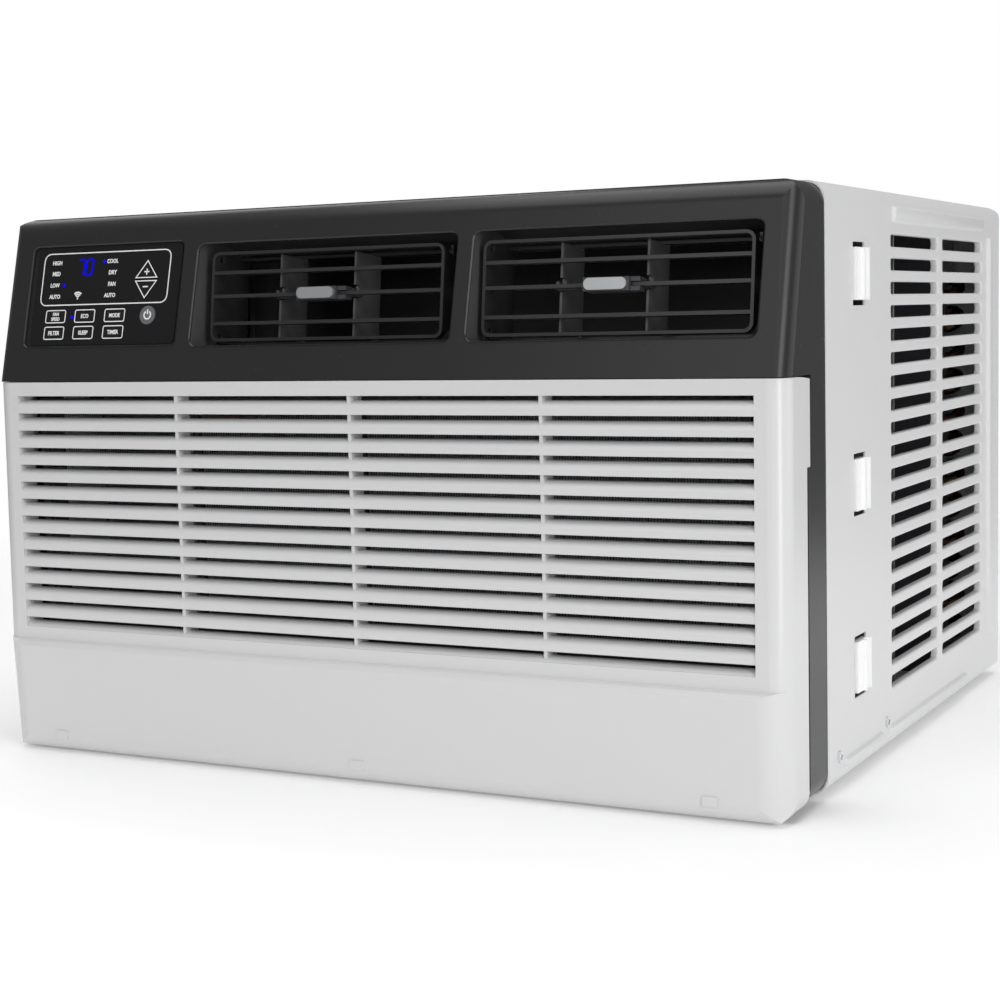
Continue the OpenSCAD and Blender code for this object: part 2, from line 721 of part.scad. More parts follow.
// Hermetic can with domed ends on three flat feet
module compressor() color([0.1, 0.1, 0.1]) in_row() difference() {
    union() {
        translate([comp_at.x, comp_at.y, 0]) rotate_extrude()
            polygon([[0, 21], [40, 21], [40, 30], [54, 34], [comp_r, 46], [comp_r, 205], [54, 218], [40, 226],
                [0, 230]]);
        for (p = comp_feet)
            translate([comp_at.x, comp_at.y, 20]) rotate([0, 0, atan2(p.y - comp_at.y, p.x - comp_at.x)])
                translate([0, -11, 0]) cube([84, 22, 3]);
    }
    for (p = comp_feet) rod_z([p.x, p.y, 19], 5, 5);
}

module compressor_grommets() color([0.15, 0.15, 0.15]) in_row() for (p = comp_feet) difference() {
    union() {
        rod_z([p.x, p.y, pan_z], 11, 10);
        rod_z([p.x, p.y, pan_z], 5, 14);
    }
    rod_z([p.x, p.y, pan_z - 1], 3, 18);
}

// Studs on the base pan with their nuts
module compressor_nuts() color("silver") in_row() for (p = comp_feet) {
    rod_z([p.x, p.y, pan_z], 3, 22);
    translate([p.x, p.y, 24]) cylinder(r = 7, h = 5, $fn = 6);
}

acc_at = [-102, 296];
module accumulator() color([0.12, 0.12, 0.12]) in_row() {
    translate([acc_at.x, acc_at.y, 0]) rotate_extrude()
        polygon([[0, 46], [8, 46], [24, 60], [24, 190], [8, 206], [0, 206]]);
    rod_z([acc_at.x, acc_at.y, 30], 6, 17);
    rod_x([acc_at.x - 46, acc_at.y, 38], 4, 46);
}

line_x = -284;
module suction_line() color("chocolate") in_row()
    pipe([[acc_at.x, acc_at.y, 206], [acc_at.x, acc_at.y, 252], [line_x, acc_at.y, 252],
        [line_x, 94, 252], [evap_x[0] - 1.2, 94, 252]], 6);

module discharge_line() color("chocolate") in_row()
    pipe([[comp_at.x, comp_at.y + 20, 228], [comp_at.x, comp_at.y + 20, 275], [line_x, comp_at.y + 20, 275],
        [line_x, 506, 275], [line_x, 506, 352], [-cond_half - 1.2, 506, 352]], 4.5);

module filter_drier() color("chocolate") in_row() {
    rod_y([line_x, 400, 60], 9, 50);
    translate([line_x, 450, 60]) rotate([-90, 0, 0]) cylinder(r1 = 9, r2 = 3, h = 10);
    translate([line_x, 400, 60]) rotate([90, 0, 0]) cylinder(r1 = 9, r2 = 2.5, h = 10);
}

module capillary_tube() color("chocolate") in_row() {
    pipe([[line_x, 390, 60], [line_x, 94, 60], [line_x, 94, 14], [evap_x[0] - 1.2, 94, 14]], 1.6);
    pipe([[line_x, 460, 60], [line_x, 506, 60], [line_x, 506, 14], [-cond_half - 1.2, 506, 14]], 2.5);
}

module room_temp_sensor() color("peru") in_row() {
    rod_x([-170, evap_y[0] - 3.2, 240], 3, 34);
    rod_x([-136, evap_y[0] - 3.2, 240], 1.4, 12);
}

// ---------- fans ----------
module fan_motor() color([0.3, 0.3, 0.3]) in_row() difference() {
    union() {
        rod_y([fan_x, 272, fan_z], 52, 80);
        rod_y([fan_x, 262, fan_z], 30, 100);
        rod_y([fan_x, 257, fan_z], 14, 110);
    }
    rod_y([fan_x, 250, fan_z], shaft_r + run_gap, 130);
}

// Cradle that stands on the base pan and carries the motor
module motor_bracket() color("darkgray") in_row() difference() {
    union() {
        span([fan_x - 62, 300, pan_z], [fan_x + 62, 304, fan_z]);
        span([fan_x - 62, 285, pan_z], [fan_x + 62, 325, pan_z + 3]);
    }
    rod_y([fan_x, 280, fan_z], 52, 60);
}

module motor_shaft() color("lightgray") in_row() rod_y([fan_x, 150, fan_z], shaft_r, 302);

module blower_wheel() color([0.15, 0.15, 0.15]) in_row() translate([fan_x, 0, fan_z]) difference() {
    union() {
        rod_y([0, 203, 0], blower_r, 3);
        rod_y([0, 176, 0], 12, 30);
        for (i = [0 : 35]) rotate([0, i * 10, 0]) translate([blower_r - 8, 132, 0]) rotate([0, 25, 0])
            translate([-7, 0, -0.8]) cube([14, 72, 1.6]);
        difference() {
            rod_y([0, 130, 0], blower_r, 4);
            rod_y([0, 129, 0], blower_r - 14, 6);
        }
    }
    rod_y([0, 120, 0], shaft_r, 100);
}

module condenser_fan() color([0.15, 0.15, 0.15]) in_row() translate([fan_x, 0, fan_z]) difference() {
    union() {
        rod_y([0, 424, 0], 26, 26);
        for (i = [0 : 4]) rotate([0, i * 72, 0]) translate([0, 438, 0]) rotate([28, 0, 0])
            translate([18, -1.3, -30]) cube([slinger_r - 20, 2.6, 60]);
        difference() {
            rod_y([0, 432, 0], slinger_r, 12);
            rod_y([0, 431, 0], slinger_r - 3, 14);
        }
    }
    rod_y([0, 400, 0], shaft_r, 100);
    difference() {
        rod_y([0, 400, 0], slinger_r + 30, 80);
        rod_y([0, 399, 0], slinger_r, 82);
    }
}

// Foam scroll round the blower wheel
module blower_housing() color("whitesmoke") in_row() difference() {
    span([-90, 118, pan_z], [170, 250, 268]);
    rod_y([fan_x, 122, fan_z], 105, 120);
    rod_y([fan_x, 100, fan_z], 74, 40);
    rod_y([fan_x, 200, fan_z], 12, 60);
    span([fan_x - 90, 122, fan_z], [fan_x + 105, 242, 300]);
}

// Foam chamber above the scroll that feeds both vents
module outlet_chamber() color("whitesmoke") in_row() difference() {
    span([-136, 88, 268], [284, 250, 374]);
    span([-132, 80, 272], [280, 246, 370]);
    span([fan_x - 90, 122, 260], [fan_x + 105, 242, 300]);
}

module bulkhead() color("darkgray") in_row() difference() {
    span([-290, bulkhead_y, pan_z], [290, bulkhead_y + 1.5, 372]);
    rod_y([fan_x, bulkhead_y - 5, fan_z], 20, 12);
    rod_y([line_x, bulkhead_y - 5, 252], 8, 12);
    rod_y([line_x, bulkhead_y - 5, 60], 4, 12);
}

module fan_shroud() color("darkgray") in_row() difference() {
    union() {
        span([-268, shroud_y, pan_z], [268, shroud_y + 2, 372]);
        rod_y([fan_x, shroud_y - 36, fan_z], slinger_r + 8, 37);
    }
    rod_y([fan_x, shroud_y - 40, fan_z], slinger_r + 5, 60);
}

// ---------- electrics ----------
module control_box() color("darkgray") in_row() difference() {
    span([-290, 96, 276], [-144, 246, 372]);
    span([-288.8, 97.2, 277.2], [-145.2, 244.8, 373]);
}

module run_capacitor() color("lightgray") in_row() {
    rod_y([-210, 120, 302], 22, 90);
    span([-216, 210, 299], [-213, 218, 305]);
    span([-207, 210, 299], [-204, 218, 305]);
    span([-222, 130, 277.2], [-198, 200, 290]);
}

cabinet_shell();
base_pan();
front_frame();
discharge_duct();
control_fascia();
control_board();
display_module();
key_fan_speed();
key_eco();
key_mode();
key_filter();
key_sleep();
key_timer();
key_power();
key_temp_up();
key_temp_down();
grille_panel();
hinge_pins();
air_filter_frame();
air_filter_mesh();
louvre_frame_left();
louvre_frame_right();
vane_left_1();
vane_left_2();
vane_right_1();
vane_right_2();
slider_left();
slider_right();
knob_cap_left();
knob_cap_right();
evaporator_fins();
evaporator_tubes();
evaporator_end_plates();
condenser_fins();
condenser_tubes();
condenser_end_plates();
compressor();
accumulator();
compressor_grommets();
compressor_nuts();
suction_line();
discharge_line();
capillary_tube();
filter_drier();
fan_motor();
motor_bracket();
motor_shaft();
blower_wheel();
condenser_fan();
blower_housing();
outlet_chamber();
bulkhead();
fan_shroud();
control_box();
run_capacitor();
cabinet_screws();
side_rail_clips();
cord_gland();
room_temp_sensor();
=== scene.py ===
import json
import math

import bmesh
import bpy
from mathutils import Matrix, Vector


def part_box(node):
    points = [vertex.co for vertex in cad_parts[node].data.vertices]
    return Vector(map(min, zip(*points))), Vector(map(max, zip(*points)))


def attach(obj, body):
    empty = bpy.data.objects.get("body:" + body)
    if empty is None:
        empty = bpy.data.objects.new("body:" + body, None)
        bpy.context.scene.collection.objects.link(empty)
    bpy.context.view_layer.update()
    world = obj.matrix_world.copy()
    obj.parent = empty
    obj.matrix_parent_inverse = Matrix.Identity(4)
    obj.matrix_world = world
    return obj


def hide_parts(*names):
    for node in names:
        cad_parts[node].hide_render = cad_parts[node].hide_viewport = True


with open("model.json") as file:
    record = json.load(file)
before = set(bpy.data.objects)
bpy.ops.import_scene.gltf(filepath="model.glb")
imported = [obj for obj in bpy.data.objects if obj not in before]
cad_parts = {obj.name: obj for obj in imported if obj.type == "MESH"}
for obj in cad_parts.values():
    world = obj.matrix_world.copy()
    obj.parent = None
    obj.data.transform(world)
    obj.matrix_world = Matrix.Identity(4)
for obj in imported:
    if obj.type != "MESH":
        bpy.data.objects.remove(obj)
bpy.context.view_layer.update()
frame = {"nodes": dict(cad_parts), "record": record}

scene = bpy.context.scene
NODES = frame["nodes"]
MM = 0.001

# Frames of the design, in millimetres: x across, then depth behind the grille face, then height.
CAB_REAR = 537.4
BEZEL_LEAN = 13.82
BEZEL_Z = 272.2
DEPTH_MID = CAB_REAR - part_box("cabinet_shell")[1][1] / MM
ROW = Matrix.Scale(MM, 4) @ Matrix.Translation((0, -DEPTH_MID, 0))
BEZEL = ROW @ Matrix.Translation((0, 0, BEZEL_Z)) @ Matrix.Rotation(math.radians(-BEZEL_LEAN), 4, "X")


# ---------- camera, light and floor ----------
CAMERA_AT = (0.6643, -1.3229, 0.3103)
CAMERA_TURN = (0.4829, 0.1014, -0.0239)     # yaw, pitch down and roll, in radians
CAMERA_LENS = 68.68
CAMERA_RISE = 0.0065
DOME = 0.22                                 # strength of the dome's light
FLOOR_HALF = 3
FLOOR_SOLID = 0.9                           # the floor fades from here out to FLOOR_CLEAR, in metres
FLOOR_CLEAR = 1.6


def make_camera():
    """Camera in front of the object, to the right and slightly above."""
    yaw, pitch, roll = CAMERA_TURN
    ahead = Vector((-math.sin(yaw) * math.cos(pitch), math.cos(yaw) * math.cos(pitch), -math.sin(pitch)))
    side = Vector((math.cos(yaw), math.sin(yaw), 0))
    top = side.cross(ahead)
    right = side * math.cos(roll) + top * math.sin(roll)
    up = top * math.cos(roll) - side * math.sin(roll)
    data = bpy.data.cameras.new("camera")
    data.sensor_width = 36
    data.lens = CAMERA_LENS
    data.shift_y = CAMERA_RISE
    data.clip_end = 50
    camera = bpy.data.objects.new("camera", data)
    camera.matrix_world = Matrix((
        (right.x, up.x, -ahead.x, CAMERA_AT[0]),
        (right.y, up.y, -ahead.y, CAMERA_AT[1]),
        (right.z, up.z, -ahead.z, CAMERA_AT[2]),
        (0, 0, 0, 1)))
    scene.collection.objects.link(camera)
    scene.camera = camera


def softbox(name, azimuth, elevation, distance, size, watts):
    """Area light that faces the object; azimuth 0 is straight in front and 90 is the object's right."""
    az, el = math.radians(azimuth), math.radians(elevation)
    aim = Vector((0, -0.1, 0.2))
    way = Vector((math.sin(az) * math.cos(el), -math.cos(az) * math.cos(el), math.sin(el)))
    data = bpy.data.lights.new(name, "AREA")
    data.shape = "RECTANGLE"
    data.size, data.size_y = size
    data.energy = watts
    light = bpy.data.objects.new(name, data)
    light.location = aim + way * distance
    light.rotation_euler = way.to_track_quat("Z", "Y").to_euler()
    light.visible_camera = False
    scene.collection.objects.link(light)


def make_world():
    """White backdrop for the eye, and a softer white dome for the light."""
    world = bpy.data.worlds.new("studio")
    scene.world = world
    world.use_nodes = True
    tree = world.node_tree
    backdrop = tree.nodes["Background"]
    backdrop.inputs["Color"].default_value = (1, 1, 1, 1)
    backdrop.inputs["Strength"].default_value = 1.0
    dome = tree.nodes.new("ShaderNodeBackground")
    dome.inputs["Strength"].default_value = DOME
    path = tree.nodes.new("ShaderNodeLightPath")
    mix = tree.nodes.new("ShaderNodeMixShader")
    tree.links.new(path.outputs["Is Camera Ray"], mix.inputs[0])
    tree.links.new(dome.outputs[0], mix.inputs[1])
    tree.links.new(backdrop.outputs[0], mix.inputs[2])
    tree.links.new(mix.outputs[0], tree.nodes["World Output"].inputs["Surface"])


def make_studio():
    """World, five soft lights, and the floor."""
    make_world()
    softbox("key_light", 8, 25, 3.2, (3.4, 2.0), 26)
    softbox("edge_light", 57, 8, 3.0, (0.9, 2.2), 33)
    softbox("side_light", 115, 14, 3.0, (2.0, 2.0), 14)
    softbox("back_light", 235, 30, 3.2, (2.4, 2.0), 20)
    softbox("top_light", 0, 89, 2.8, (3.0, 3.0), 58)
    corners = [(x * FLOOR_HALF, y * FLOOR_HALF, 0) for x, y in ((-1, -1), (1, -1), (1, 1), (-1, 1))]
    floor_mesh = bpy.data.meshes.new("floor")
    floor_mesh.from_pydata(corners, [], [(0, 1, 2, 3)])
    floor = bpy.data.objects.new("floor", floor_mesh)
    scene.collection.objects.link(floor)
    floor.data.materials.append(floor_material())
    scene.view_settings.view_transform = "Standard"


def floor_material():
    """Pale matt floor that fades into the white backdrop away from the object."""
    n = Nodes("pale_floor")
    n.set(Base_Color=(0.96, 0.96, 0.96, 1), Roughness=0.95, Specular_IOR_Level=0.1,
          Emission_Color=(1, 1, 1, 1), Emission_Strength=0.12)
    reach = n.add("ShaderNodeVectorMath", operation="LENGTH")
    n.link(n.coords, reach.inputs[0])
    clear = n.add("ShaderNodeBsdfTransparent")
    mix = n.add("ShaderNodeMixShader")
    n.link(n.spread(reach.outputs["Value"], 0, 1, FLOOR_SOLID, FLOOR_CLEAR), mix.inputs[0])
    n.link(n.shader.outputs[0], mix.inputs[1])
    n.link(clear.outputs[0], mix.inputs[2])
    n.link(mix.outputs[0], n.tree.nodes["Material Output"].inputs["Surface"])
    return n.material


# ---------- materials ----------
class Nodes:
    """Short calls for building one material's node tree."""

    def __init__(self, name):
        self.material = bpy.data.materials.new(name)
        self.material.use_nodes = True
        self.tree = self.material.node_tree
        self.shader = self.tree.nodes["Principled BSDF"]
        self.coords = self.tree.nodes.new("ShaderNodeTexCoord").outputs["Object"]

    def add(self, kind, **values):
        made = self.tree.nodes.new(kind)
        for key, value in values.items():
            setattr(made, key, value)
        return made

    def link(self, a, b):
        self.tree.links.new(a, b)

    def noise(self, scale, detail=3.0, rough=0.5):
        made = self.add("ShaderNodeTexNoise")
        made.inputs["Scale"].default_value = scale
        made.inputs["Detail"].default_value = detail
        made.inputs["Roughness"].default_value = rough
        self.link(self.coords, made.inputs["Vector"])
        return made.outputs["Fac"]

    def spread(self, source, low, high, from_low=0.3, from_high=0.7):
        made = self.add("ShaderNodeMapRange")
        made.inputs["From Min"].default_value = from_low
        made.inputs["From Max"].default_value = from_high
        made.inputs["To Min"].default_value = low
        made.inputs["To Max"].default_value = high
        self.link(source, made.inputs["Value"])
        return made.outputs["Result"]

    def tint(self, source, dark, light):
        made = self.add("ShaderNodeMix", data_type="RGBA")
        made.inputs[6].default_value = (*dark, 1)
        made.inputs[7].default_value = (*light, 1)
        self.link(source, made.inputs[0])
        return made.outputs[2]

    def bump(self, source, strength, distance):
        made = self.add("ShaderNodeBump")
        made.inputs["Strength"].default_value = strength
        made.inputs["Distance"].default_value = distance
        self.link(source, made.inputs["Height"])
        self.link(made.outputs["Normal"], self.shader.inputs["Normal"])

    def set(self, **values):
        for key, value in values.items():
            self.shader.inputs[key.replace("_", " ")].default_value = value


def scaled(color, k):
    return tuple(min(1.0, c * k) for c in color)


def grained(name, color, rough, grain=2600, bump=0.12, vary=0.05, metallic=0.0, coat=0.0, height=0.00006,
            specular=0.5):
    """Moulded plastic or paint: fine grain in the surface, with soft changes of tone and gloss."""
    n = Nodes(name)
    shade = n.tint(n.noise(9, 4), scaled(color, 1 - vary), scaled(color, 1 + vary))
    n.link(shade, n.shader.inputs["Base Color"])
    n.link(n.spread(n.noise(60, 4), rough * 0.97, rough * 1.03, 0.1, 0.9), n.shader.inputs["Roughness"])
    n.bump(n.noise(grain, 2), bump, height)
    n.set(Metallic=metallic, Specular_IOR_Level=specular, Coat_Weight=coat, Coat_Roughness=0.12)
    return n.material


def sheet_metal(name, color, rough, spangle=0.10):
    """Galvanised or plated metal with a crystal pattern."""
    n = Nodes(name)
    cells = n.add("ShaderNodeTexVoronoi")
    cells.inputs["Scale"].default_value = 90
    n.link(n.coords, cells.inputs["Vector"])
    n.link(n.tint(cells.outputs["Distance"], scaled(color, 1 - spangle), scaled(color, 1 + spangle)),
           n.shader.inputs["Base Color"])
    dull = n.spread(cells.outputs["Distance"], rough * 0.8, rough * 1.2, 0, 0.8)
    n.link(dull, n.shader.inputs["Roughness"])
    n.bump(n.noise(700, 3), 0.08, 0.00005)
    n.set(Metallic=1.0)
    return n.material


def copper_pipe(name, color):
    """Drawn copper, dulled in patches."""
    n = Nodes(name)
    n.link(n.tint(n.noise(45, 5), scaled(color, 0.55), scaled(color, 1.1)), n.shader.inputs["Base Color"])
    n.link(n.spread(n.noise(120, 4), 0.22, 0.5), n.shader.inputs["Roughness"])
    n.bump(n.noise(900, 2), 0.06, 0.00004)
    n.set(Metallic=1.0)
    return n.material


def lamp(name, color, strength):
    """Small light-emitting mark, a little uneven in brightness."""
    n = Nodes(name)
    n.link(n.tint(n.noise(900, 2), scaled(color, 0.85), color), n.shader.inputs["Emission Color"])
    n.set(Base_Color=(0.0, 0.0, 0.02, 1), Emission_Strength=strength, Roughness=0.4, Specular_IOR_Level=0.1)
    return n.material


MATERIALS = {
    "cabinet_paint": grained("cabinet_paint", (0.70, 0.70, 0.705), 0.40, 1700, 0.10, 0.012, specular=0.4),
    "pan_steel": grained("pan_steel", (0.55, 0.56, 0.57), 0.45, 1500, 0.12, 0.04),
    "bezel_plastic": grained("bezel_plastic", (0.024, 0.024, 0.025), 0.27, 4200, 0.012, 0.01, specular=0.3),
    "duct_plastic": grained("duct_plastic", (0.080, 0.080, 0.080), 0.42, 2500, 0.02, 0.03, specular=0.4),
    "fascia_gloss": grained("fascia_gloss", (0.011, 0.011, 0.012), 0.14, 4000, 0.01, 0.02, specular=0.35),
    "board_green": grained("board_green", (0.02, 0.13, 0.05), 0.35, 900, 0.2, 0.2),
    "display_dark": grained("display_dark", (0.01, 0.01, 0.02), 0.2, 2000, 0.05, 0.05),
    "grille_plastic": grained("grille_plastic", (0.68, 0.68, 0.685), 0.26, 4200, 0.015, 0.006),
    "plated_steel": sheet_metal("plated_steel", (0.78, 0.79, 0.80), 0.25, 0.05),
    "filter_plastic": grained("filter_plastic", (0.03, 0.03, 0.033), 0.5, 2500, 0.1, 0.03),
    "filter_mesh": grained("filter_mesh", (0.09, 0.10, 0.11), 0.7, 1800, 0.6, 0.2),
    "louvre_plastic": grained("louvre_plastic", (0.028, 0.028, 0.029), 0.28, 4000, 0.015, 0.03),
    "slider_plastic": grained("slider_plastic", (0.045, 0.045, 0.05), 0.35, 3000, 0.1, 0.05),
    "knob_silver": grained("knob_silver", (0.52, 0.53, 0.54), 0.3, 3500, 0.05, 0.03, metallic=0.7),
    "key_gloss": grained("key_gloss", (0.013, 0.013, 0.014), 0.18, 4000, 0.01, 0.03, specular=0.35),
    "key_silver": grained("key_silver", (0.17, 0.18, 0.19), 0.35, 3500, 0.05, 0.03, metallic=0.3),
    "fin_aluminium": sheet_metal("fin_aluminium", (0.72, 0.74, 0.76), 0.35, 0.04),
    # Copper darkened far below bare copper: partly dull metal, partly painted shade standing in for the dark
    # inside the cabinet seen through the side slots.
    "copper": copper_pipe("copper", (0.17, 0.09, 0.06)),
    "galvanised": sheet_metal("galvanised", (0.55, 0.57, 0.59), 0.4, 0.16),
    "black_paint": grained("black_paint", (0.015, 0.015, 0.016), 0.25, 900, 0.15, 0.1, coat=0.4),
    "rubber_black": grained("rubber_black", (0.02, 0.02, 0.02), 0.75, 1500, 0.2, 0.1),
    "motor_paint": grained("motor_paint", (0.16, 0.16, 0.17), 0.4, 900, 0.15, 0.08),
    "fan_plastic": grained("fan_plastic", (0.04, 0.04, 0.045), 0.45, 2500, 0.1, 0.06),
    "foam_white": grained("foam_white", (0.78, 0.78, 0.77), 0.85, 420, 0.5, 0.04, height=0.0003),
    "capacitor_alu": sheet_metal("capacitor_alu", (0.68, 0.69, 0.70), 0.3, 0.03),
    "clip_white": grained("clip_white", (0.95, 0.95, 0.95), 0.3, 2000, 0.03, 0.005),
    "gland_black": grained("gland_black", (0.03, 0.03, 0.03), 0.6, 1800, 0.2, 0.1),
}
# Lighter copy of the louvre plastic for the vanes: painted light, standing in for the light that falls on
# their side faces.
VANE_PLASTIC_PAINTED_LIGHT = grained("vane_plastic_painted_light", (0.085, 0.085, 0.087), 0.35, 4000, 0.015, 0.03)
PRINT_WHITE = grained("print_white", (0.88, 0.88, 0.88), 0.5, 3000, 0.05, 0.03)
LED_BLUE = lamp("led_blue", (0.0, 0.0, 1.0), 1.0)


# ---------- mesh helpers ----------
class Shape:
    """Closed solids gathered into one piece, in one of the design's frames."""

    def __init__(self):
        self.bm = bmesh.new()

    def loft(self, sections, closed=False):
        """Joins closed loops of points in turn, and caps the ends unless the last meets the first."""
        rings = [[self.bm.verts.new(p) for p in loop] for loop in sections]
        count = len(rings[0])
        pairs = list(zip(rings, rings[1:]))
        if closed:
            pairs.append((rings[-1], rings[0]))
        for a, b in pairs:
            for i in range(count):
                j = (i + 1) % count
                self.bm.faces.new((a[i], a[j], b[j], b[i]))
        if not closed:
            self.bm.faces.new(reversed(rings[0]))
            self.bm.faces.new(rings[-1])

    def box(self, lo, hi):
        corners = [(lo[0], lo[1]), (hi[0], lo[1]), (hi[0], hi[1]), (lo[0], hi[1])]
        self.loft([[(x, y, z) for x, y in corners] for z in (lo[2], hi[2])])

    def piece(self, name, matrix, body, slot, material=None, smooth=35):
        bmesh.ops.recalc_face_normals(self.bm, faces=self.bm.faces)
        mesh = bpy.data.meshes.new(name)
        self.bm.to_mesh(mesh)
        self.bm.free()
        mesh.transform(matrix)
        mesh.materials.append(material or MATERIALS[slot])
        mesh.shade_smooth()
        mesh.set_sharp_from_angle(angle=math.radians(smooth))
        made = bpy.data.objects.new(name, mesh)
        scene.collection.objects.link(made)
        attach(made, body)
        return made


def round_loop(lo, hi, r, steps=4):
    """Rectangle with round corners, as points in order."""
    points = []
    corners = [(hi[0] - r, hi[1] - r, 0), (lo[0] + r, hi[1] - r, 90),
               (lo[0] + r, lo[1] + r, 180), (hi[0] - r, lo[1] + r, 270)]
    for cu, cv, start in corners:
        for i in range(steps + 1):
            a = math.radians(start + 90 * i / steps)
            points.append((cu + r * math.cos(a), cv + r * math.sin(a)))
    return points


def drawn_in(lo, hi, r, by, steps=4):
    return round_loop((lo[0] + by, lo[1] + by), (hi[0] - by, hi[1] - by), r - by, steps)


# ---------- marks on the control panel, in the bezel's plane (x, s) ----------
INK = 0.12          # thickness of the printed marks, mm


def at_depth(loop, depth):
    return [(x, depth, s) for x, s in loop]


class Marks(Shape):
    """Thin raised marks that stand on a face at the given depth."""

    def __init__(self, face):
        super().__init__()
        self.face = face

    def fill(self, loop):
        self.loft([at_depth(loop, self.face), at_depth(loop, self.face - INK)])

    def band(self, outer, inner):
        top = self.face - INK
        self.loft([at_depth(outer, self.face), at_depth(outer, top), at_depth(inner, top),
                   at_depth(inner, self.face)], closed=True)

    def frame(self, lo, hi, r, width):
        self.band(drawn_in(lo, hi, r, 0), drawn_in(lo, hi, r, width))

    def bar(self, start, end, width):
        a, b = Vector(start), Vector(end)
        across = (b - a).normalized().orthogonal() * width / 2
        self.fill([tuple(p) for p in (a + across, b + across, b - across, a - across)])

    def arc(self, centre, radius, start, end, width, steps=14):
        sections = []
        for i in range(steps + 1):
            a = math.radians(start + (end - start) * i / steps)
            near, far = radius - width / 2, radius + width / 2
            sections.append([(centre[0] + math.cos(a) * r, d, centre[1] + math.sin(a) * r)
                             for r, d in ((near, self.face), (near, self.face - INK),
                                          (far, self.face - INK), (far, self.face))])
        self.loft(sections)

    def dome(self, centre, radius, height):
        sections = []
        for k in range(5):
            a = math.radians(k * 20)
            ring = [(centre[0] + radius * math.cos(a) * math.cos(t),
                     centre[1] + radius * math.cos(a) * math.sin(t))
                    for t in (math.tau * i / 20 for i in range(20))]
            sections.append(at_depth(ring, self.face - height * math.sin(a)))
        self.loft(sections)

    def word(self, text, centre, height, squeeze=0.86):
        """Capital letters of the given height, centred."""
        curve = bpy.data.curves.new("word", "FONT")
        curve.body = text
        curve.extrude = 0.5
        curve.offset = 0.03
        curve.resolution_u = 3
        source = bpy.data.objects.new("word", curve)
        mesh = bpy.data.meshes.new_from_object(source)
        xs = [v.co.x for v in mesh.vertices]
        ys = [v.co.y for v in mesh.vertices]
        k = height / (max(ys) - min(ys))
        move = Matrix.Translation((centre[0], self.face - INK / 2, centre[1]))
        turn = Matrix.Rotation(math.radians(90), 4, "X")
        size = Matrix.Diagonal((k * squeeze, k, INK, 1))
        middle = Matrix.Translation((-(max(xs) + min(xs)) / 2, -(max(ys) + min(ys)) / 2, 0))
        mesh.transform(move @ turn @ size @ middle)
        self.bm.from_mesh(mesh)
        bpy.data.objects.remove(source)
        bpy.data.curves.remove(curve)
        bpy.data.meshes.remove(mesh)


FASCIA_FACE = 2.0
KEY_FACE = 1.7
LABEL_H = 3.1
LABELS = {"HIGH": (-255.0, 83.6), "MED": (-254.8, 75.6), "LOW": (-254.9, 67.2), "AUTO": (-254.2, 58.9),
          "COOL": (-205.0, 83.6), "DRY": (-203.9, 75.4), "FAN": (-203.7, 67.0)}
SECOND_AUTO = (-204.6, 58.9)
LEDS = [(-247.0, 67.0), (-212.6, 83.6), (-236.8, 43.8)]


FASCIA_FRAME = ((-267.2, 52.2), (-153.9, 90.7), 5.5, 0.8)   # two corners, corner radius and line width
SIGNAL_AT = (-233.3, 57.0)
SIGNAL_ARCS = (1.6, 3.1, 4.6)
SIGNAL_DOT = 0.6


def fascia_marks():
    """Printed frame, words and signal mark of the fascia."""
    marks = Marks(FASCIA_FACE)
    marks.frame(*FASCIA_FRAME)
    for text, place in LABELS.items():
        marks.word(text, place, LABEL_H)
    marks.word("AUTO", SECOND_AUTO, LABEL_H)
    for radius in SIGNAL_ARCS:
        marks.arc(SIGNAL_AT, radius, 48, 132, 1.1)
    marks.dome(SIGNAL_AT, SIGNAL_DOT, INK)
    marks.piece("panel_print", BEZEL, "chassis", "fascia_gloss", PRINT_WHITE)


def seven_segment(marks, left, bottom, lit):
    """One display digit, 5.6 mm wide and leaning a little to the right."""
    wide, tall, thick, gap = 5.6, 11.4, 1.15, 0.12
    mid = tall / 2
    ends = {"a": ((0, tall), (wide, tall)), "b": ((wide, tall), (wide, mid)), "c": ((wide, mid), (wide, 0)),
            "d": ((0, 0), (wide, 0)), "e": ((0, mid), (0, 0)), "f": ((0, tall), (0, mid)),
            "g": ((0, mid), (wide, mid))}
    for name in lit:
        a, b = (Vector(p) for p in ends[name])
        along = (b - a).normalized()
        across = along.orthogonal() * thick / 2
        a, b = a + along * gap, b - along * gap
        tip = along * thick / 2
        loop = [a, a + tip + across, b - tip + across, b, b - tip - across, a + tip - across]
        marks.fill([(left + p.x + p.y * 0.08, bottom + p.y) for p in loop])


DIGIT_FOOT = 74.0
LAMP_R = 1.25
LAMP_RISE = 0.5


def lit_marks():
    """Lit digits of the display, and the small lamps beside the words."""
    marks = Marks(FASCIA_FACE)
    seven_segment(marks, -236.4, DIGIT_FOOT, "abc")
    seven_segment(marks, -228.8, DIGIT_FOOT, "abcdef")
    for place in LEDS:
        marks.dome(place, LAMP_R, LAMP_RISE)
    marks.piece("lit_marks", BEZEL, "chassis", "display_dark", LED_BLUE)


KEYS = {"key_fan_speed": (-251, 44.2, "FAN", "SPEED"), "key_eco": (-224.6, 44.2, "ECO"),
        "key_mode": (-198, 44.2, "MODE"), "key_filter": (-251, 32.2, "FILTER"),
        "key_sleep": (-224.6, 32.2, "SLEEP"), "key_timer": (-198, 32.2, "TIMER")}
KEY_HALF = (9.1, 4.8)


KEY_CORNER = 1.6
KEY_LINE = 0.7
KEY_WORD_H = 3.0
KEY_PAIR_H = 2.5        # height of each word where a key has two, one above the other
KEY_PAIR_STEP = 1.75


